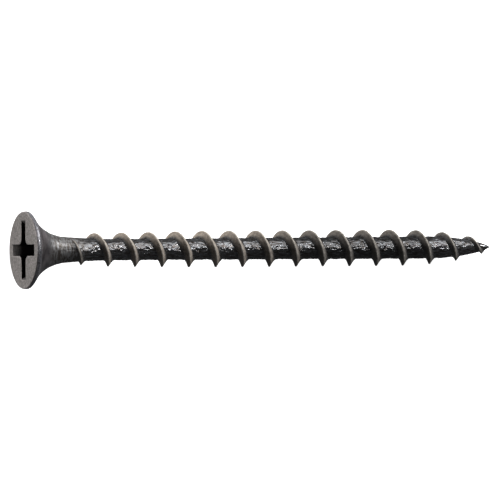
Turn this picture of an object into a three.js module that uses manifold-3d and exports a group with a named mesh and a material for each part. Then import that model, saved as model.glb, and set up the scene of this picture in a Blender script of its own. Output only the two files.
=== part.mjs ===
// A bugle-headed, coarse-threaded steel screw with a cross recess and a sharp point.
// It is one piece of cold-headed, thread-rolled wire, so the group holds one mesh.
// Millimetres. The axis lies along X: the head face looks along -X and the point along +X.
// The origin is the bottom centre of the screw's box, so the head's rim touches Z = 0.
import * as THREE from "three";
import Module from "manifold-3d";

const LENGTH = 55; // head face to tip

// Head: a flat face, a small rounded rim, and a bugle curve that runs into the shank.
const FACE_RADIUS = 4.15;
const HEAD_RADIUS = 4.25;
const RIM_DEPTH = 0.37;
const BUGLE_END = 4.9;
const BUGLE_RIM_PULL = 0.35; // how far the curve leaves the rim parallel to the axis
const BUGLE_SHANK_PULL = 3.53; // how early it lines up with the shank

// Shank between the threads: a flare behind the bugle, then nearly straight, then the point.
const SHANK_RADIUS_AT_HEAD = 1.12;
const SHANK_RADIUS_AT_POINT = 1.19;
const FLARE = 0.27; // extra radius where the bugle ends
const FLARE_LENGTH = 2.3; // it dies away over this length
const POINT_START = 47.5;
const POINT_BLUNTNESS = 0.7; // power of the ogive: smaller is blunter

// Thread: one start, right-handed.
const PITCH = 3.16;
const CREST_RADIUS = 2.0;
const CREST_FLAT = 0.12;
const HEAD_SIDE_FOOT = 0.54; // from the crest to the ridge's foot, on the steeper flank
const POINT_SIDE_FOOT = 0.78;
const LEAST_FOOT_SHARE = 0.3; // of the foot width, where the ridge has no height
const WAIST_HEIGHT = 0.42; // of the ridge height, where the hollow of each flank is set
const FIRST_CREST = 8.33; // a crest passes the +Y side here
const TURNS_BEFORE_FIRST_CREST = 1;
const QUICK_RISE_LENGTH = 3.2; // the ridge gains most of its height over this length
const QUICK_RISE = 0.74; // and this share of it
const FULL_HEIGHT_AT = 20;
const CREST_TAPER_START = 43; // from here the crest narrows to the tip
const RIDGE_FADE_START = 53.9;
const RIDGE_END = 54.8;

// Cross recess: four tapered wings and the rounded webs between them.
const WING_REACH = 3.25;
const WING_HALF_WIDTH = 0.62;
const WEB_RADIUS = 0.7;
const RECESS_DEPTH = 2.2;
const RECESS_TIP_DEPTH = 2.75;
const WING_END_SLOPE = 0.6; // reach lost per millimetre of depth
const WING_SIDE_SLOPE = 0.09; // half width lost per millimetre of depth
const CUTTER_STANDOFF = 0.3; // how far the recess's cutter starts in front of the face

// Fineness of the surface.
const SEGMENTS = 24; // round the axis; a multiple of four keeps the box exact
const RIM_STEPS = 3;
const BUGLE_STEPS = 14;
const WEB_STEPS = 3;

const { clamp, lerp } = THREE.MathUtils;
const THREAD_START = FIRST_CREST - TURNS_BEFORE_FIRST_CREST * PITCH;

const wasm = await Module();
wasm.setup();

// How far along is between two places, from 0 at the first to 1 at the second.
function shareBetween(along, start, end) {
  return clamp((along - start) / (end - start), 0, 1);
}

// Radius of the shank between the threads, at a distance along from the head face.
function shankRadius(along) {
  const body = shareBetween(along, BUGLE_END, POINT_START);
  const straight = lerp(SHANK_RADIUS_AT_HEAD, SHANK_RADIUS_AT_POINT, body);
  const flare = FLARE * Math.exp((BUGLE_END - along) / FLARE_LENGTH);
  const intoPoint = shareBetween(along, POINT_START, LENGTH);
  return (straight + flare) * Math.pow(1 - intoPoint ** 2, POINT_BLUNTNESS);
}

// Share of the full ridge height: it grows from nothing at the start and fades out at the tip.
function ridgeShare(along) {
  const intoRise = shareBetween(along, THREAD_START, THREAD_START + QUICK_RISE_LENGTH);
  const quick = Math.sin((intoRise * Math.PI) / 2);
  const slow = shareBetween(along, THREAD_START, FULL_HEIGHT_AT);
  const fade = 1 - shareBetween(along, RIDGE_FADE_START, RIDGE_END);
  return lerp(slow, quick, QUICK_RISE) * fade;
}

// Height of the ridge above the shank. Over the point it follows an elliptical envelope.
function ridgeHeight(along) {
  const intoTaper = shareBetween(along, CREST_TAPER_START, LENGTH);
  const crest = CREST_RADIUS * Math.sqrt(1 - intoTaper ** 2);
  return Math.max(crest - shankRadius(along), 0) * ridgeShare(along);
}

// Share of the full foot width: the ridge is wide where it is tall.
function footShare(along) {
  const full = clamp(ridgeHeight(along) / (CREST_RADIUS - SHANK_RADIUS_AT_HEAD), 0, 1);
  return lerp(LEAST_FOOT_SHARE, 1, full);
}

// A point of the surface, from its distance along, its radius and its angle round the axis.
function surfacePoint(along, radius, angle) {
  return new THREE.Vector3(along, radius * Math.cos(angle), radius * Math.sin(angle));
}

function ringPoints(along, radius) {
  const ring = [];
  for (let i = 0; i < SEGMENTS; i++) {
    ring.push(surfacePoint(along, radius, (i / SEGMENTS) * 2 * Math.PI));
  }
  return ring;
}

// The head's outline from the edge of its face to where the thread takes over.
function headOutline() {
  const rim = new THREE.EllipseCurve(
    RIM_DEPTH, FACE_RADIUS, RIM_DEPTH, HEAD_RADIUS - FACE_RADIUS, Math.PI, Math.PI / 2, true,
  ).getPoints(RIM_STEPS);
  const endRadius = shankRadius(BUGLE_END);
  const bugle = new THREE.CubicBezierCurve(
    new THREE.Vector2(RIM_DEPTH, HEAD_RADIUS),
    new THREE.Vector2(RIM_DEPTH + BUGLE_RIM_PULL, HEAD_RADIUS),
    new THREE.Vector2(BUGLE_END - BUGLE_SHANK_PULL, endRadius + (FLARE / FLARE_LENGTH) * BUGLE_SHANK_PULL),
    new THREE.Vector2(BUGLE_END, endRadius),
  ).getPoints(BUGLE_STEPS);
  return [...rim, ...bugle.slice(1, -1)];
}

// One row of the threaded surface, lying in a plane through the axis: the ridge's two flanks and
// crest, then two points on the shank before the next turn's foot.
function threadRow(turn) {
  const crestAt = THREAD_START + turn * PITCH;
  const angle = turn * 2 * Math.PI;
  const height = ridgeHeight(crestAt);
  const headFoot = crestAt - HEAD_SIDE_FOOT * footShare(crestAt);
  const pointFoot = crestAt + POINT_SIDE_FOOT * footShare(crestAt);
  const nextFoot = crestAt + PITCH - HEAD_SIDE_FOOT * footShare(crestAt + PITCH);
  const columns = [
    [headFoot, 0],
    [(headFoot + crestAt) / 2, height * WAIST_HEIGHT],
    [crestAt - CREST_FLAT / 2, height],
    [crestAt + CREST_FLAT / 2, height],
    [(pointFoot + crestAt) / 2, height * WAIST_HEIGHT],
    [pointFoot, 0],
    [lerp(pointFoot, nextFoot, 1 / 3), 0],
    [lerp(pointFoot, nextFoot, 2 / 3), 0],
  ];
  return columns.map(([along, rise]) => (
    surfacePoint(along, shankRadius(along) + rise, angle)
  ));
}

// Collects points and triangles; a triangle with a repeated corner has no area and is left out.
class Surface {
  points = [];
  faces = [];
  add(point) {
    return this.points.push(point) - 1;
  }
  triangle(a, b, c) {
    if (a !== b && b !== c && a !== c) this.faces.push(a, b, c);
  }
  quad(a, b, c, d) {
    this.triangle(a, b, c);
    this.triangle(a, c, d);
  }
  geometry() {
    return new THREE.BufferGeometry().setFromPoints(this.points).setIndex(this.faces);
  }
}

// The whole outside of the screw as one surface. Rings make the head. Behind it the rows of the
// thread wind round the axis, and the last column of each turn is the first column of the next.
// Rows that would lie past the tip are the tip.
function outsideGeometry() {
  const surface = new Surface();
  const faceCentre = surface.add(new THREE.Vector3(0, 0, 0));
  const tip = surface.add(new THREE.Vector3(LENGTH, 0, 0));
  const rings = headOutline().map((p) => ringPoints(p.x, p.y).map((q) => surface.add(q)));
  const rowCount = Math.ceil(((LENGTH + PITCH - THREAD_START) / PITCH) * SEGMENTS);
  const rows = [];
  for (let row = 0; row <= rowCount; row++) {
    rows.push(threadRow(row / SEGMENTS).map((p) => (p.x < LENGTH ? surface.add(p) : tip)));
  }
  const columns = rows[0].length;
  const at = (row, column) => {
    if (column === columns) return at(row + SEGMENTS, 0);
    return row < rows.length ? rows[row][column] : tip;
  };

  for (let i = 0; i < SEGMENTS; i++) {
    const next = (i + 1) % SEGMENTS;
    surface.triangle(faceCentre, rings[0][next], rings[0][i]);
    for (let r = 0; r + 1 < rings.length; r++) {
      surface.quad(rings[r][i], rings[r][next], rings[r + 1][next], rings[r + 1][i]);
    }
  }
  const lastRing = rings.at(-1);
  for (let i = 0; i + 1 < SEGMENTS; i++) {
    surface.quad(lastRing[i], lastRing[i + 1], at(i + 1, 0), at(i, 0));
  }
  const corner = at(SEGMENTS - 1, 0);
  surface.quad(lastRing[SEGMENTS - 1], lastRing[0], at(0, 0), corner);
  for (let column = 0; column < columns; column++) {
    surface.triangle(corner, at(0, column), at(0, column + 1));
  }
  for (let row = 0; row < rowCount; row++) {
    for (let column = 0; column < columns; column++) {
      surface.quad(
        at(row, column), at(row + 1, column), at(row + 1, column + 1), at(row, column + 1),
      );
    }
  }
  return surface.geometry();
}

// The cross at one depth: each quarter is a wing's end and the web beside it.
function crossOutline(depth) {
  const reach = WING_REACH - WING_END_SLOPE * depth;
  const half = WING_HALF_WIDTH - WING_SIDE_SLOPE * depth;
  const web = new THREE.EllipseCurve(
    half + WEB_RADIUS, half + WEB_RADIUS, WEB_RADIUS, WEB_RADIUS, -Math.PI / 2, -Math.PI, true,
  ).getPoints(WEB_STEPS);
  const quarter = [new THREE.Vector2(reach, -half), new THREE.Vector2(reach, half), ...web];
  const centre = new THREE.Vector2();
  const outline = [];
  for (let i = 0; i < 4; i++) {
    quarter.forEach((p) => outline.push(p.clone().rotateAround(centre, (i * Math.PI) / 2)));
  }
  return outline;
}

// The cross recess as a cutter: it starts just outside the face and ends in a shallow cone.
function recessGeometry() {
  const surface = new Surface();
  const [mouth, floor] = [-CUTTER_STANDOFF, RECESS_DEPTH].map((depth) => (
    crossOutline(depth).map((p) => surface.add(new THREE.Vector3(depth, p.x, p.y)))
  ));
  const front = surface.add(new THREE.Vector3(-CUTTER_STANDOFF, 0, 0));
  const end = surface.add(new THREE.Vector3(RECESS_TIP_DEPTH, 0, 0));
  for (let i = 0; i < mouth.length; i++) {
    const next = (i + 1) % mouth.length;
    surface.triangle(front, mouth[next], mouth[i]);
    surface.quad(mouth[i], mouth[next], floor[next], floor[i]);
    surface.triangle(end, floor[i], floor[next]);
  }
  return surface.geometry();
}

// A closed solid from a three.js geometry.
function solid(geometry) {
  return new wasm.Manifold(new wasm.Mesh({
    numProp: 3,
    vertProperties: geometry.getAttribute("position").array,
    triVerts: new Uint32Array(geometry.index.array),
  }));
}

// Black phosphate over steel: dark, with a dull sheen.
function blackSteel() {
  return new THREE.MeshStandardMaterial({ color: 0x3b3938, roughness: 0.45, metalness: 0.8 });
}

function screw() {
  const body = solid(outsideGeometry()).subtract(solid(recessGeometry())).getMesh();
  const geometry = new THREE.BufferGeometry();
  geometry.setAttribute("position", new THREE.BufferAttribute(body.vertProperties, 3));
  geometry.setIndex(new THREE.BufferAttribute(body.triVerts, 1));
  geometry.translate(-LENGTH / 2, 0, HEAD_RADIUS);
  geometry.computeVertexNormals();
  const mesh = new THREE.Mesh(geometry, blackSteel());
  mesh.name = "screw";
  return mesh;
}

const part = new THREE.Group();
part.name = "wood_screw";
part.add(screw());

export default part;
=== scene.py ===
import math

import bpy
import numpy as np
from mathutils import Matrix, Vector, noise


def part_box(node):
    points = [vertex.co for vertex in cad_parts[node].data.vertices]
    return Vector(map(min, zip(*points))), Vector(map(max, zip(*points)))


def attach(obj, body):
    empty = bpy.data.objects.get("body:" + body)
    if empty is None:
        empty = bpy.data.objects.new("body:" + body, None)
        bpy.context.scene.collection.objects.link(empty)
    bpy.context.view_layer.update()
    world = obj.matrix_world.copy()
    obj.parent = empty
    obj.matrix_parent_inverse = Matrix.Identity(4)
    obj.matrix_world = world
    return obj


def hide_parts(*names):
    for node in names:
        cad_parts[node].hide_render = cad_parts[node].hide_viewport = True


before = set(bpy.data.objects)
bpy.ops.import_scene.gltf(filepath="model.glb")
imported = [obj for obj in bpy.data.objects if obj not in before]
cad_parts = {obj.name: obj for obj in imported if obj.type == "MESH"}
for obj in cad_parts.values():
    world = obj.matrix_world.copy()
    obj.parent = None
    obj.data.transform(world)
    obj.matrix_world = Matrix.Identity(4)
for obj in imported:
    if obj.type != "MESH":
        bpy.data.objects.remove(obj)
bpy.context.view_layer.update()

MM = 0.001
low, high = (np.array(corner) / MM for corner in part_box("screw"))
LENGTH = high[0] - low[0]
HEAD_RADIUS = (high[2] - low[2]) / 2
AXIS_HEIGHT = (high[2] + low[2]) / 2

# Head. HEAD_RADIUS above is over the rim, and FACE_RADIUS is the flat face inside it.
FACE_RADIUS = 4.15
RIM_DEPTH = 0.37
BUGLE_END = 4.9
BUGLE_RIM_PULL = 0.35  # how far the curve's two handles reach along the axis
BUGLE_SHANK_PULL = 3.53

# Shank and point
SHANK_RADIUS_AT_HEAD = 1.12
SHANK_RADIUS_AT_POINT = 1.19
FLARE = 0.27
FLARE_LENGTH = 2.3
POINT_START = 47.5
POINT_BLUNTNESS = 0.7

# Thread
PITCH = 3.16
CREST_RADIUS = 2.0
CREST_FLAT = 0.12
CREST_DROP = 0.02  # share of the height by which the flat's edges lie below its middle
HEAD_SIDE_FOOT = 0.54
POINT_SIDE_FOOT = 0.78
LEAST_FOOT_SHARE = 0.3
FLANK_HOLLOW = 1.25  # power of the flank's curve: 1 is straight, more is hollow
FIRST_CREST = 8.33
THREAD_START = FIRST_CREST - PITCH
QUICK_RISE_LENGTH = 3.2
QUICK_RISE = 0.74  # share of the height that comes over that length; the rest comes slowly
FULL_HEIGHT_AT = 20
CREST_TAPER_START = 43
RIDGE_FADE_START = 53.9
RIDGE_END = 54.8

# Cross recess
WING_REACH = 3.25
WING_HALF_WIDTH = 0.62
WEB_RADIUS = 0.7
CORNER_RADIUS = 0.14
RECESS_DEPTH = 2.2
RECESS_TIP_DEPTH = 2.75
WING_END_SLOPE = 0.6
WING_SIDE_SLOPE = 0.09
MOUTH_ROUNDING = 0.06
WING_END_POINTS = 3  # points of the outline in one eighth of the cross
CORNER_POINTS = 3
WING_SIDE_POINTS = 5
WEB_POINTS = 5

# Fineness of the mesh
SEGMENTS = 128  # round the axis, a multiple of four
FLANK_STEPS = 8
ROOT_STEPS = 14
FLOOR_RINGS = 5
WALL_RINGS = 12
MOUTH_RINGS = 3
FACE_RINGS = 14
RIM_RINGS = 5
BUGLE_RINGS = 44

# Where each finish fades in or out: from and to, behind the face unless another measure is named
FACE_OUT = (0.0, 0.08)
RIM_IN = (0.08, 0.25)
RIM_OUT = (0.45, 0.85)
BUGLE_OUT = (1.4, 3.4)
NECK_IN = (1.8, 3.2)
NECK_OUT = (5.5, 8.0)
CREST_IN = (0.82, 1)  # share of the ridge's height
LEAST_RIDGE = 0.1  # a ridge lower than this has no painted highlight on its crest
WING_SIDE_SHADE = (0, 0.06)  # depth
WING_END_SHADE = (0.3, 0.9)  # depth
WING_END_LEAST_SHADE = 0.55

# Small relief
ROOT_BEGINS = (3.2, 5.5)
ROOT_OUT = (0.02, 0.3)  # share of the ridge's height
RELIEF_OUT_AT_TIP = (50, 54.5)
FOLD_SIZE = 0.42
FOLD_STRETCH = 2.2
FOLD_NARROWNESS = 3.2
FOLD_POWER = 1.5
FOLD_HEIGHT = 0.06
PIT_SIZE = 0.2
PIT_STRETCH = 1.4
PIT_SHIFT = 31  # the shifts take each noise from another place, so that no two line up
PIT_HEIGHT = 0.035
GRAIN_SIZE = 0.12
GRAIN_SHIFT = 77
GRAIN_HEIGHT_ON_RIDGE = 0.01
GRAIN_HEIGHT = 0.004
STREAK_SIZE = 0.42
STREAK_DENSITY = 2.2
STREAK_SLANT = 0.9
STREAK_SPREAD = 1.2
STREAK_HEIGHT = 0.022
STREAK_OUT = (0.05, 0.4)  # share of the ridge's height
HEAD_BACK_IN = (0.02, 0.4)
HEAD_BACK_HEIGHT = 0.008
DIMPLE_SIZE = 0.5
DIMPLE_DEPTH = 0.006
FACE_THICKNESS = 0.3  # only points this close behind the face take its dimples
COARSE_OCTAVES = 3
FINE_OCTAVES = 2


def share_between(along, start, end):
    return np.clip((np.asarray(along, float) - start) / (end - start), 0, 1)


def mix(a, b, share):
    return a + (b - a) * share


def smooth(share):
    return share * share * (3 - 2 * share)


def fade_in(value, span):
    return smooth(share_between(value, *span))


def fade_out(value, span):
    return 1 - fade_in(value, span)


# ---------------------------------------------------------------- shape of the screw

def shank_radius(along):
    down_the_shank = share_between(along, BUGLE_END, POINT_START)
    straight = mix(SHANK_RADIUS_AT_HEAD, SHANK_RADIUS_AT_POINT, down_the_shank)
    flare = FLARE * np.exp((BUGLE_END - along) / FLARE_LENGTH)
    into_point = share_between(along, POINT_START, LENGTH)
    return (straight + flare) * (1 - into_point ** 2) ** POINT_BLUNTNESS


def ridge_height(along):
    """How far the crest of the thread stands above the shank."""
    quick_share = share_between(along, THREAD_START, THREAD_START + QUICK_RISE_LENGTH)
    quick = np.sin(quick_share * math.pi / 2)
    slow = share_between(along, THREAD_START, FULL_HEIGHT_AT)
    fade = 1 - share_between(along, RIDGE_FADE_START, RIDGE_END)
    into_taper = share_between(along, CREST_TAPER_START, LENGTH)
    crest = CREST_RADIUS * np.sqrt(1 - into_taper ** 2)
    return np.maximum(crest - shank_radius(along), 0) * mix(slow, quick, QUICK_RISE) * fade


def foot_share(along):
    """A low ridge has a narrower foot than a full one."""
    full = np.clip(ridge_height(along) / (CREST_RADIUS - SHANK_RADIUS_AT_HEAD), 0, 1)
    return mix(LEAST_FOOT_SHARE, 1, full)


def thread_row(turn):
    """One pitch of the outline in a plane through the axis, as distance along and rise above the shank."""
    crest_at = THREAD_START + turn * PITCH
    height = ridge_height(crest_at)
    half_crest = CREST_FLAT / 2
    head_foot = crest_at - HEAD_SIDE_FOOT * foot_share(crest_at)
    point_foot = crest_at + POINT_SIDE_FOOT * foot_share(crest_at)
    next_foot = crest_at + PITCH - HEAD_SIDE_FOOT * foot_share(crest_at + PITCH)
    up = np.arange(FLANK_STEPS) / FLANK_STEPS
    root = np.arange(ROOT_STEPS) / ROOT_STEPS
    along = np.concatenate([
        mix(head_foot, crest_at - half_crest, up),
        [crest_at - half_crest, crest_at, crest_at + half_crest],
        mix(point_foot, crest_at + half_crest, up[:0:-1]),
        mix(point_foot, next_foot, root),
    ])
    rise = height * np.concatenate([
        up ** FLANK_HOLLOW,
        [1 - CREST_DROP, 1, 1 - CREST_DROP],
        up[:0:-1] ** FLANK_HOLLOW,
        0 * root,
    ])
    return along, rise


def bugle_outline():
    """Distance along and radius of each ring behind the face, over the rim and the bugle."""
    turn = np.arange(1, RIM_RINGS + 1) / RIM_RINGS * math.pi / 2
    rim = np.stack([
        RIM_DEPTH * (1 - np.cos(turn)),
        FACE_RADIUS + (HEAD_RADIUS - FACE_RADIUS) * np.sin(turn),
    ], 1)
    end_radius = shank_radius(BUGLE_END)
    corners = np.array([
        [RIM_DEPTH, HEAD_RADIUS],
        [RIM_DEPTH + BUGLE_RIM_PULL, HEAD_RADIUS],
        [BUGLE_END - BUGLE_SHANK_PULL, end_radius + FLARE / FLARE_LENGTH * BUGLE_SHANK_PULL],
        [BUGLE_END, end_radius],
    ])
    t = (np.arange(1, BUGLE_RINGS) / BUGLE_RINGS)[:, None]
    bugle = (
        (1 - t) ** 3 * corners[0] + 3 * (1 - t) ** 2 * t * corners[1]
        + 3 * (1 - t) * t ** 2 * corners[2] + t ** 3 * corners[3]
    )
    return np.concatenate([rim, bugle])


def arc(centre, radius, start, end, steps):
    angle = mix(start, end, (np.arange(steps) + 0.5) / steps)
    return np.stack([centre[0] + radius * np.cos(angle), centre[1] + radius * np.sin(angle)], 1)


def line(start, end, steps):
    share = ((np.arange(steps) + 0.5) / steps)[:, None]
    return mix(np.array(start), np.array(end), share)


def cross_outline(depth, grow=0.0):
    """The recess at one depth, SEGMENTS points starting at the middle of the +Y wing's end."""
    reach = WING_REACH - WING_END_SLOPE * depth + grow
    half = WING_HALF_WIDTH - WING_SIDE_SLOPE * depth + grow
    web = WEB_RADIUS - grow
    corner = CORNER_RADIUS
    web_at = half + web
    eighth = np.concatenate([
        line((reach, 0), (reach, half - corner), WING_END_POINTS),
        arc((reach - corner, half - corner), corner, 0, math.pi / 2, CORNER_POINTS),
        line((reach - corner, half), (web_at, half), WING_SIDE_POINTS),
        arc((web_at, web_at), web, -math.pi / 2, -math.pi * 3 / 4, WEB_POINTS),
    ])
    mirrored = eighth[::-1, ::-1]
    quarter = np.concatenate([eighth, mirrored])
    points = []
    for i in range(4):
        angle = i * math.pi / 2
        c, s = math.cos(angle), math.sin(angle)
        points.append(quarter @ np.array([[c, s], [-s, c]]))
    return np.concatenate(points)


def recess_shade(depth):
    """How much painted shade each point of the outline takes: a wing's sides at once, its end more slowly.
    """
    quarter = SEGMENTS // 4
    end_points = WING_END_POINTS + 2
    place = np.arange(SEGMENTS) % quarter
    at_end = (place < end_points) | (place >= quarter - end_points)
    end_shade = mix(WING_END_LEAST_SHADE, 1, share_between(depth, *WING_END_SHADE))
    return np.where(at_end, end_shade, share_between(depth, *WING_SIDE_SHADE))


def neck_share(along):
    """The forged neck between the bugle and the first full turn of the thread."""
    return fade_in(along, NECK_IN) * fade_out(along, NECK_OUT)


def circle(radius):
    angle = np.arange(SEGMENTS) / SEGMENTS * 2 * math.pi
    return radius * np.stack([np.cos(angle), np.sin(angle)], 1)


# ---------------------------------------------------------------- small relief of the surface

NOISE_FALLOFF = 0.8
NOISE_STEP = 2.1


def wrinkles(along, across, up, size, octaves, stretch=1.0):
    """Fractal noise from about -1 to 1. The stretch draws it out along the screw."""
    return np.array([
        noise.fractal(Vector((a / (size * stretch), b / size, c / size)), NOISE_FALLOFF, NOISE_STEP, octaves)
        for a, b, c in zip(along, across, up)
    ])


# Each point of the mesh has a value from 0 to 1 for each of these, which the material reads.
ZONES = ("thread", "head", "recess", "rim", "bugle", "neck", "crest")


class Skin:
    """Points with their zone values, and the faces between them."""

    def __init__(self):
        self.points = []
        self.zones = []
        self.faces = []

    def add(self, points, thread=0.0, head=0.0, recess=0.0, rim=0.0, bugle=0.0, neck=0.0, crest=0.0):
        start = len(self.points)
        points = np.atleast_2d(points)
        zones = np.stack(np.broadcast_arrays(thread, head, recess, rim, bugle, neck, crest), -1)
        zones = np.broadcast_to(zones, (len(points), len(ZONES)))
        self.points.extend(points)
        self.zones.extend(zones)
        return list(range(start, start + len(points)))

    def face(self, *corners):
        """Adds one face, without repeated corners, unless too few are left."""
        kept = [c for i, c in enumerate(corners) if c != corners[i - 1]]
        if len(set(kept)) > 2:
            self.faces.append(kept)


def add_ring(skin, along, section, **zones):
    along = np.broadcast_to(along, (SEGMENTS,))
    return skin.add(np.column_stack([along, section]), **zones)


def bridge(skin, ring, next_ring):
    for i in range(SEGMENTS):
        j = (i + 1) % SEGMENTS
        skin.face(ring[i], ring[j], next_ring[j], next_ring[i])


def make_head(skin):
    """From the bottom of the recess out to the last ring of the bugle, which it returns."""
    # The recess zone holds painted shade: black down in the cross, greyer near the mouth at the wings' ends
    centre = skin.add([[RECESS_TIP_DEPTH, 0, 0]], head=1, recess=1)[0]
    rings = []
    floor = cross_outline(RECESS_DEPTH)
    for i in range(1, FLOOR_RINGS + 1):
        share = i / FLOOR_RINGS
        depth = mix(RECESS_TIP_DEPTH, RECESS_DEPTH, share)
        rings.append(add_ring(skin, depth, floor * share, head=1, recess=1))
    for i in range(1, WALL_RINGS + 1):
        depth = mix(RECESS_DEPTH, MOUTH_ROUNDING, i / WALL_RINGS)
        rings.append(add_ring(skin, depth, cross_outline(depth), head=1, recess=recess_shade(depth)))
    for i in range(1, MOUTH_RINGS + 1):
        angle = i / MOUTH_RINGS * math.pi / 2
        depth = MOUTH_ROUNDING * (1 - math.sin(angle))
        grow = MOUTH_ROUNDING * (1 - math.cos(angle))
        rings.append(add_ring(skin, depth, cross_outline(depth, grow), head=1, recess=0))
    mouth = cross_outline(0, MOUTH_ROUNDING)
    for i in range(1, FACE_RINGS + 1):
        rings.append(add_ring(skin, 0, mix(mouth, circle(FACE_RADIUS), i / FACE_RINGS), head=1))
    for along, radius in bugle_outline():
        rings.append(add_ring(
            skin, along, circle(radius),
            head=fade_out(along, FACE_OUT),
            rim=fade_in(along, RIM_IN) * fade_out(along, RIM_OUT),
            bugle=fade_out(along, BUGLE_OUT),
            neck=neck_share(along),
        ))
    for i in range(SEGMENTS):
        skin.face(centre, rings[0][(i + 1) % SEGMENTS], rings[0][i])
    for ring, next_ring in zip(rings, rings[1:]):
        bridge(skin, ring, next_ring)
    return rings[-1]


def make_thread(skin, last_ring):
    """Rows wind round the axis, and the last column of one turn is the first column of the next."""
    tip = skin.add([[LENGTH, 0, 0]])[0]
    row_count = math.ceil((LENGTH + PITCH - THREAD_START) / PITCH * SEGMENTS)
    rows = []
    for number in range(row_count + 1):
        turn = number / SEGMENTS
        angle = turn * 2 * math.pi
        along, rise = thread_row(turn)
        inside = along < LENGTH
        radius = shank_radius(np.minimum(along, LENGTH)) + rise
        points = np.column_stack([along, radius * math.cos(angle), radius * math.sin(angle)])
        thread = np.clip(rise / (CREST_RADIUS - SHANK_RADIUS_AT_HEAD), 0, 1)
        crest = share_between(rise / max(rise.max(), LEAST_RIDGE), *CREST_IN)
        neck = neck_share(along)
        made = skin.add(
            points[inside], thread=thread[inside], neck=neck[inside], crest=crest[inside],
        )
        rows.append(made + [tip] * int((~inside).sum()))
    columns = len(rows[0])

    def at(row, column):
        if column == columns:
            return at(row + SEGMENTS, 0)
        return rows[row][column] if row < len(rows) else tip

    for i in range(SEGMENTS - 1):
        skin.face(last_ring[i], last_ring[i + 1], at(i + 1, 0), at(i, 0))
    corner = at(SEGMENTS - 1, 0)
    skin.face(last_ring[-1], last_ring[0], at(0, 0), corner)
    for column in range(columns):
        skin.face(corner, at(0, column), at(0, column + 1))
    for row in range(row_count):
        for column in range(columns):
            skin.face(
                at(row, column), at(row + 1, column), at(row + 1, column + 1), at(row, column + 1),
            )


def roughen(points, zones):
    """Pushes the surface in or out by a few hundredths of a millimetre, as rolling and plating leave it."""
    along, across, up = points.T
    radius = np.maximum(np.hypot(across, up), 1e-6)
    angle = np.arctan2(up, across)
    thread, head, recess = zones.T[:3]
    behind_head = fade_in(along, ROOT_BEGINS)
    near_tip = fade_out(along, RELIEF_OUT_AT_TIP)
    grain = wrinkles(along + GRAIN_SHIFT, across, up, GRAIN_SIZE, FINE_OCTAVES)

    # Folds and pits in the root, and grain everywhere behind the head
    root = fade_out(thread, ROOT_OUT) * behind_head
    lengthwise = wrinkles(along, across, up, FOLD_SIZE, COARSE_OCTAVES, FOLD_STRETCH)
    folds = np.clip(1 - FOLD_NARROWNESS * np.abs(lengthwise), 0, 1) ** FOLD_POWER
    pits = wrinkles(along + PIT_SHIFT, across, up, PIT_SIZE, FINE_OCTAVES, PIT_STRETCH)
    push = root * near_tip * (FOLD_HEIGHT * (folds - folds.mean()) + PIT_HEIGHT * pits)
    push += thread * near_tip * GRAIN_HEIGHT_ON_RIDGE * grain
    push += behind_head * GRAIN_HEIGHT * grain * near_tip

    # Slanted streaks on the neck, in the unrolled plane of distance along and angle
    slanted = wrinkles(
        along * STREAK_DENSITY + angle * STREAK_SLANT, angle * STREAK_SPREAD, 0 * angle,
        STREAK_SIZE, COARSE_OCTAVES,
    )
    push += neck_share(along) * fade_out(thread, STREAK_OUT) * STREAK_HEIGHT * slanted

    # The back of the head is only pushed in, so the rim stays inside the head's radius
    back_of_head = fade_in(along, HEAD_BACK_IN) * (1 - behind_head)
    push -= back_of_head * HEAD_BACK_HEIGHT * (1 + grain)
    scale = 1 + push / radius
    moved = np.column_stack([along, across * scale, up * scale])

    # Dimples go into the flat face, never out of it
    flat_face = head * (along < FACE_THICKNESS) * (recess < 0.5)
    dimples = wrinkles(along, across, up, DIMPLE_SIZE, COARSE_OCTAVES)
    moved[:, 0] += flat_face * DIMPLE_DEPTH * (1 + np.clip(dimples, -1, 1))
    return moved


def make_screw():
    """The whole skin as one mesh. Its points are returned too, in the frame's millimetres."""
    skin = Skin()
    make_thread(skin, make_head(skin))
    points = np.array(skin.points)
    zones = np.array(skin.zones)
    points = roughen(points, zones)
    points[:, 0] = np.clip(points[:, 0], 0, LENGTH)
    points += [low[0], 0, AXIS_HEIGHT]
    mesh = bpy.data.meshes.new("screw_skin")
    mesh.from_pydata((points * MM).tolist(), [], skin.faces)
    mesh.validate()
    for name, values in zip(ZONES, zones.T):
        mesh.attributes.new(name, "FLOAT", "POINT").data.foreach_set("value", values.astype(np.float32))
    mesh.shade_smooth()
    piece = bpy.data.objects.new("screw_skin", mesh)
    bpy.context.scene.collection.objects.link(piece)
    return piece, points


# ---------------------------------------------------------------- materials

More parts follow.
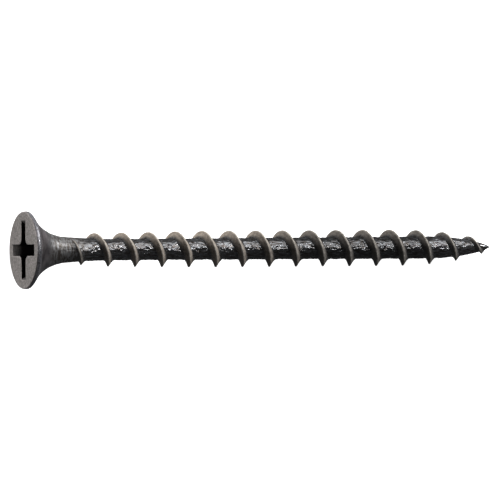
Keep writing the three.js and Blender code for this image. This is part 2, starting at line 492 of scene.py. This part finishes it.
class Nodes:
    """A material's node tree, with short calls to add and link nodes."""

    def __init__(self, name):
        self.material = bpy.data.materials.new(name)
        self.material.use_nodes = True
        self.tree = self.material.node_tree
        self.shader = self.tree.nodes["Principled BSDF"]
        coordinates = self.tree.nodes.new("ShaderNodeTexCoord")
        self.place = coordinates.outputs["Object"]

    def link(self, source, socket):
        if isinstance(source, bpy.types.NodeSocket):
            self.tree.links.new(source, socket)
        else:
            socket.default_value = source

    def zone(self, name):
        """One of ZONES, from the mesh."""
        node = self.tree.nodes.new("ShaderNodeAttribute")
        node.attribute_name = name
        return node.outputs["Fac"]

    def distance_along(self):
        """Metres from the head face."""
        node = self.tree.nodes.new("ShaderNodeSeparateXYZ")
        self.link(self.place, node.inputs[0])
        return self.math("SUBTRACT", node.outputs["X"], float(low[0]) * MM)

    def stretched(self, stretch):
        """Coordinates for noise. A share under 1 draws it out along that axis."""
        node = self.tree.nodes.new("ShaderNodeMapping")
        node.inputs["Scale"].default_value = stretch
        self.link(self.place, node.inputs["Vector"])
        return node.outputs["Vector"]

    def noise(self, size_mm, detail, roughness, place=None):
        """Fractal noise from 0 to 1, with features of about the size given."""
        node = self.tree.nodes.new("ShaderNodeTexNoise")
        node.inputs["Scale"].default_value = 1 / (size_mm * MM)
        node.inputs["Detail"].default_value = detail
        node.inputs["Roughness"].default_value = roughness
        self.link(place or self.place, node.inputs["Vector"])
        return node.outputs["Fac"]

    def math(self, operation, a, b):
        node = self.tree.nodes.new("ShaderNodeMath")
        node.operation = operation
        self.link(a, node.inputs[0])
        self.link(b, node.inputs[1])
        return node.outputs[0]

    def remap(self, value, low_in, high_in, low_out=0, high_out=1):
        """Moves a value from one range to another and holds it there."""
        node = self.tree.nodes.new("ShaderNodeMapRange")
        node.inputs["From Min"].default_value = low_in
        node.inputs["From Max"].default_value = high_in
        node.inputs["To Min"].default_value = low_out
        node.inputs["To Max"].default_value = high_out
        self.link(value, node.inputs["Value"])
        return node.outputs["Result"]

    def blend(self, share, a, b, mode="MIX"):
        node = self.tree.nodes.new("ShaderNodeMix")
        node.data_type = "RGBA"
        node.blend_type = mode
        self.link(share, node.inputs["Factor"])
        self.link(a, node.inputs["A"])
        self.link(b, node.inputs["B"])
        return node.outputs["Result"]

    def tint(self, share, colour, by):
        """The colour multiplied by another, as far as the share says."""
        return self.blend(share, colour, self.blend(1.0, colour, by, "MULTIPLY"))

    def bump(self, height, depth_mm, strength, under=None):
        node = self.tree.nodes.new("ShaderNodeBump")
        node.inputs["Strength"].default_value = strength
        node.inputs["Distance"].default_value = depth_mm * MM
        self.link(height, node.inputs["Height"])
        if under:
            self.link(under, node.inputs["Normal"])
        return node.outputs["Normal"]


# Colours, as linear light. A tint multiplies the colour under it.
ROOT_OILY = (0.046, 0.036, 0.029, 1)
ROOT_BARE = (0.165, 0.174, 0.186, 1)
FAR_ROOT_PAINTED_SHADE = (0.55, 0.55, 0.55, 1)
FLANK_DARK = (0.150, 0.128, 0.106, 1)
FLANK_PALE = (0.300, 0.262, 0.222, 1)
FAR_FLANK_PAINTED_SHADE = (0.40, 0.42, 0.45, 1)
# A painted highlight along the crest, partly worn plating
CREST_WEAR_AND_HIGHLIGHT = (0.30, 0.28, 0.25, 1)
NECK_DARK = (0.062, 0.054, 0.047, 1)
NECK_PALE = (0.185, 0.185, 0.187, 1)
BUGLE_DARK = (0.010, 0.008, 0.010, 1)
BUGLE_PALE = (0.082, 0.073, 0.076, 1)
WORN_RIM = (0.26, 0.26, 0.28, 1)
HEAD_DARK = (0.240, 0.222, 0.211, 1)
HEAD_PALE = (0.340, 0.317, 0.305, 1)
HEAD_GRAIN_TINT = (0.52, 0.52, 0.52, 1)
SPECKLE_TINT = (0.5, 0.48, 0.47, 1)
# Painted shade for the recess, not a colour of the steel
RECESS_PAINTED_SHADE = (0.004, 0.003, 0.003, 1)

# The colours darken between these distances from the face, and the root's come back before the point. The
# darkening is painted shade for light that falls off towards the point.
PAINTED_SHADE_SPAN = (22 * MM, 36 * MM)
POINT_ROOT = (46 * MM, 50 * MM)

STEEL_IOR = 1.5
METAL_OF_ROOT = 0.85
LESS_METAL_ON_NECK = 0.2
ROOT_ROUGHNESS = (0.12, 0.3)
ROUGHER_ON_NECK = 0.22
PLATED_ROUGHNESS = (0.65, 0.8)
SMOOTHER_ON_BUGLE = 0.38


def black_steel():
    """Phosphated steel: oily black in the roots, dull and paler on the flanks and the head. Painted shade
    blackens the recess and darkens the thread towards the point, and a painted highlight, partly worn
    plating, runs along the crest.
    """
    n = Nodes("black_steel")
    thread = n.remap(n.zone("thread"), 0.05, 0.45)
    head = n.zone("head")
    recess = n.zone("recess")
    bugle = n.zone("bugle")
    neck = n.zone("neck")
    crest = n.zone("crest")
    from_head = n.distance_along()
    along_the_screw = n.stretched((0.3, 1, 1))
    mottle = n.noise(size_mm=0.35, detail=4, roughness=0.6)
    fine = n.noise(size_mm=0.09, detail=3, roughness=0.6)
    grain = n.noise(size_mm=0.17, detail=2, roughness=0.7)
    streaks = n.noise(size_mm=0.16, detail=3, roughness=0.6, place=along_the_screw)
    bands = n.noise(size_mm=0.7, detail=4, roughness=0.65, place=n.stretched((1, 0.35, 0.35)))
    strokes = n.noise(size_mm=0.18, detail=2, roughness=0.5, place=n.stretched((1, 0.3, 0.3)))
    patches = n.remap(mottle, 0.35, 0.65)
    worn_rim = n.math("MULTIPLY", n.zone("rim"), n.remap(mottle, 0.38, 0.56, 0.2, 1))
    crest_wear_and_highlight = n.math("MULTIPLY", crest, n.remap(mottle, 0.4, 0.6, 0.2, 0.8))
    far_shade = n.remap(from_head, *PAINTED_SHADE_SPAN)
    far_root_shade = n.math("MULTIPLY", far_shade, n.remap(from_head, *POINT_ROOT, 1, 0))

    root_colour = n.blend(n.remap(streaks, 0.35, 0.65), ROOT_OILY, ROOT_BARE)
    # Painted shade: root and flanks darker towards the point
    root_colour = n.tint(far_root_shade, root_colour, FAR_ROOT_PAINTED_SHADE)
    flank_colour = n.tint(far_shade, n.blend(patches, FLANK_DARK, FLANK_PALE), FAR_FLANK_PAINTED_SHADE)
    head_colour = n.blend(patches, HEAD_DARK, HEAD_PALE)
    head_colour = n.tint(n.remap(grain, 0.4, 0.62), head_colour, HEAD_GRAIN_TINT)
    bugle_colour = n.blend(n.remap(bands, 0.42, 0.60), BUGLE_DARK, BUGLE_PALE)
    neck_colour = n.blend(n.remap(strokes, 0.42, 0.58), NECK_DARK, NECK_PALE)

    colour = n.blend(neck, root_colour, neck_colour)
    colour = n.blend(bugle, colour, bugle_colour)
    colour = n.blend(worn_rim, colour, WORN_RIM)
    colour = n.blend(thread, colour, flank_colour)
    # Painted highlight along the crest, partly worn plating
    colour = n.blend(crest_wear_and_highlight, colour, CREST_WEAR_AND_HIGHLIGHT)
    colour = n.blend(head, colour, head_colour)
    colour = n.tint(n.remap(fine, 0.35, 0.65, 0, 0.7), colour, SPECKLE_TINT)
    # Painted shade: the recess is blackened
    colour = n.blend(recess, colour, RECESS_PAINTED_SHADE)
    n.link(colour, n.shader.inputs["Base Color"])

    plated = n.math("MAXIMUM", n.math("MAXIMUM", thread, head), n.math("SUBTRACT", bugle, worn_rim))
    bare_rough = n.remap(streaks, 0.3, 0.7, *ROOT_ROUGHNESS)
    bare_rough = n.math("ADD", bare_rough, n.math("MULTIPLY", neck, ROUGHER_ON_NECK))
    plated_rough = n.remap(mottle, 0.3, 0.7, *PLATED_ROUGHNESS)
    plated_rough = n.math("SUBTRACT", plated_rough, n.math("MULTIPLY", bugle, SMOOTHER_ON_BUGLE))
    rougher = n.math("MULTIPLY", plated, n.math("SUBTRACT", plated_rough, bare_rough))
    n.link(n.math("ADD", bare_rough, rougher), n.shader.inputs["Roughness"])

    metal = n.math("SUBTRACT", METAL_OF_ROOT, n.math("MULTIPLY", neck, LESS_METAL_ON_NECK))
    bare_metal = n.math("MULTIPLY", n.math("SUBTRACT", 1.0, plated), metal)
    # Full metal with a black base keeps reflections out of the recess's painted shade
    n.link(n.math("MAXIMUM", bare_metal, recess), n.shader.inputs["Metallic"])
    n.shader.inputs["IOR"].default_value = STEEL_IOR

    skin = n.bump(n.math("MULTIPLY", fine, plated), depth_mm=0.012, strength=0.55)
    skin = n.bump(streaks, depth_mm=0.03, strength=0.3, under=skin)
    skin = n.bump(n.math("MULTIPLY", strokes, neck), depth_mm=0.05, strength=0.5, under=skin)
    n.link(skin, n.shader.inputs["Normal"])
    return n.material


FLOOR_DARK = (0.83, 0.83, 0.83, 1)
FLOOR_PALE = (0.85, 0.85, 0.85, 1)
FLOOR_GLOW = 0.85


def pale_floor():
    """Matt and near white, and it glows enough to hide the shadow."""
    n = Nodes("pale_floor")
    clouds = n.noise(size_mm=3.0, detail=2, roughness=0.5)
    n.link(n.blend(clouds, FLOOR_DARK, FLOOR_PALE), n.shader.inputs["Base Color"])
    n.shader.inputs["Roughness"].default_value = 0.9
    n.shader.inputs["Specular IOR Level"].default_value = 0.1
    n.shader.inputs["Emission Color"].default_value = (1, 1, 1, 1)
    n.shader.inputs["Emission Strength"].default_value = FLOOR_GLOW
    return n.material


# ---------------------------------------------------------------- floor, lights and camera

FLOOR_HALF_WIDTH = 1500
FLOOR_GAP = 0.01
CLEAR_OF_HEAD = 10


def make_floor(points):
    """A plane under the lying screw. It leans so that it touches the head's rim and the thread."""
    rim = points[np.argmin(points[:, 2])]
    behind = points[points[:, 0] > rim[0] + CLEAR_OF_HEAD]
    lean = np.min((behind[:, 2] - rim[2]) / (behind[:, 0] - rim[0]))
    half = FLOOR_HALF_WIDTH
    corners = [
        (x, y, rim[2] + lean * (x - rim[0]) - FLOOR_GAP)
        for x, y in ((-half, -half), (half, -half), (half, half), (-half, half))
    ]
    mesh = bpy.data.meshes.new("floor")
    mesh.from_pydata([tuple(c * MM for c in corner) for corner in corners], [], [(0, 1, 2, 3)])
    floor = bpy.data.objects.new("floor", mesh)
    bpy.context.scene.collection.objects.link(floor)
    mesh.materials.append(pale_floor())
    # The floor's glow is for the picture only and doesn't light the screw
    floor.visible_glossy = False
    floor.visible_diffuse = False


LIGHTS_AIM_AT = (0, 0, 0.004)
SKY_COLOUR = (0.95, 0.97, 1, 1)
SKY_STRENGTH = 0.1


def soft_light(name, place, size, power):
    """A rectangular light. Its place and size are in metres and its power in watts."""
    data = bpy.data.lights.new(name, "AREA")
    data.shape = "RECTANGLE"
    data.size, data.size_y = size
    data.energy = power
    light = bpy.data.objects.new(name, data)
    light.location = place
    aim = Vector(LIGHTS_AIM_AT) - Vector(place)
    light.rotation_mode = "QUATERNION"
    light.rotation_quaternion = aim.to_track_quat("-Z", "Y")
    bpy.context.scene.collection.objects.link(light)
    return light


def light_scene():
    """A low key that lights the upper side, and smaller lights for the face and the shine."""
    world = bpy.data.worlds.new("studio")
    bpy.context.scene.world = world
    world.use_nodes = True
    background = world.node_tree.nodes["Background"]
    background.inputs["Color"].default_value = SKY_COLOUR
    background.inputs["Strength"].default_value = SKY_STRENGTH
    key = soft_light("key", place=(-0.05, 0.70, 0.07), size=(0.40, 0.10), power=17.0)
    key.visible_glossy = False  # the other lights make the shine
    soft_light("face_light", place=(-0.45, 0.006, 0.008), size=(0.015, 0.015), power=1.15)
    soft_light("gloss_light", place=(0.16, 0.12, 0.37), size=(0.16, 0.015), power=0.5)
    soft_light("sheen_light", place=(0.18, 0.30, 0.27), size=(0.30, 0.26), power=1.1)
    soft_light("right_light", place=(0.38, 0.24, 0.16), size=(0.05, 0.06), power=1.0)
    bpy.context.scene.view_settings.view_transform = "Standard"
    bpy.context.scene.view_settings.look = "None"


VIEW_LEAN = math.radians(22)  # the camera leans this far from square-on towards the head
CAMERA_DISTANCE = 2.0  # metres
VIEW_WIDTH = 0.05468  # metres across the picture, at the screw
SENSOR_WIDTH = 36
FAR_CLIP = 10  # metres
AXIS_RISE = math.radians(0.40)  # the screw's axis rises this much towards the point, in the picture
AIM_ALONG = 26.62
AIM_BELOW_AXIS = 0.14


def make_camera():
    """Looks down at the screw from its head's side, with the Y axis up in the picture."""
    across = Vector((math.cos(VIEW_LEAN), 0, math.sin(VIEW_LEAN)))
    up = Vector((0, 1, 0))
    right = across * math.cos(AXIS_RISE) - up * math.sin(AXIS_RISE)
    top = up * math.cos(AXIS_RISE) + across * math.sin(AXIS_RISE)
    back = right.cross(top)
    data = bpy.data.cameras.new("camera")
    data.sensor_width = SENSOR_WIDTH
    data.lens = SENSOR_WIDTH * CAMERA_DISTANCE / VIEW_WIDTH
    data.clip_end = FAR_CLIP
    camera = bpy.data.objects.new("camera", data)
    aim = Vector(((low[0] + AIM_ALONG) * MM, 0, AXIS_HEIGHT * MM)) - top * AIM_BELOW_AXIS * MM
    rotation = Matrix((right, top, back)).transposed().to_4x4()
    camera.matrix_world = Matrix.Translation(aim + back * CAMERA_DISTANCE) @ rotation
    bpy.context.scene.collection.objects.link(camera)
    bpy.context.scene.camera = camera


screw, screw_points = make_screw()
screw.data.materials.append(black_steel())
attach(screw, "root")
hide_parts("screw")
make_floor(screw_points)
light_scene()
make_camera()
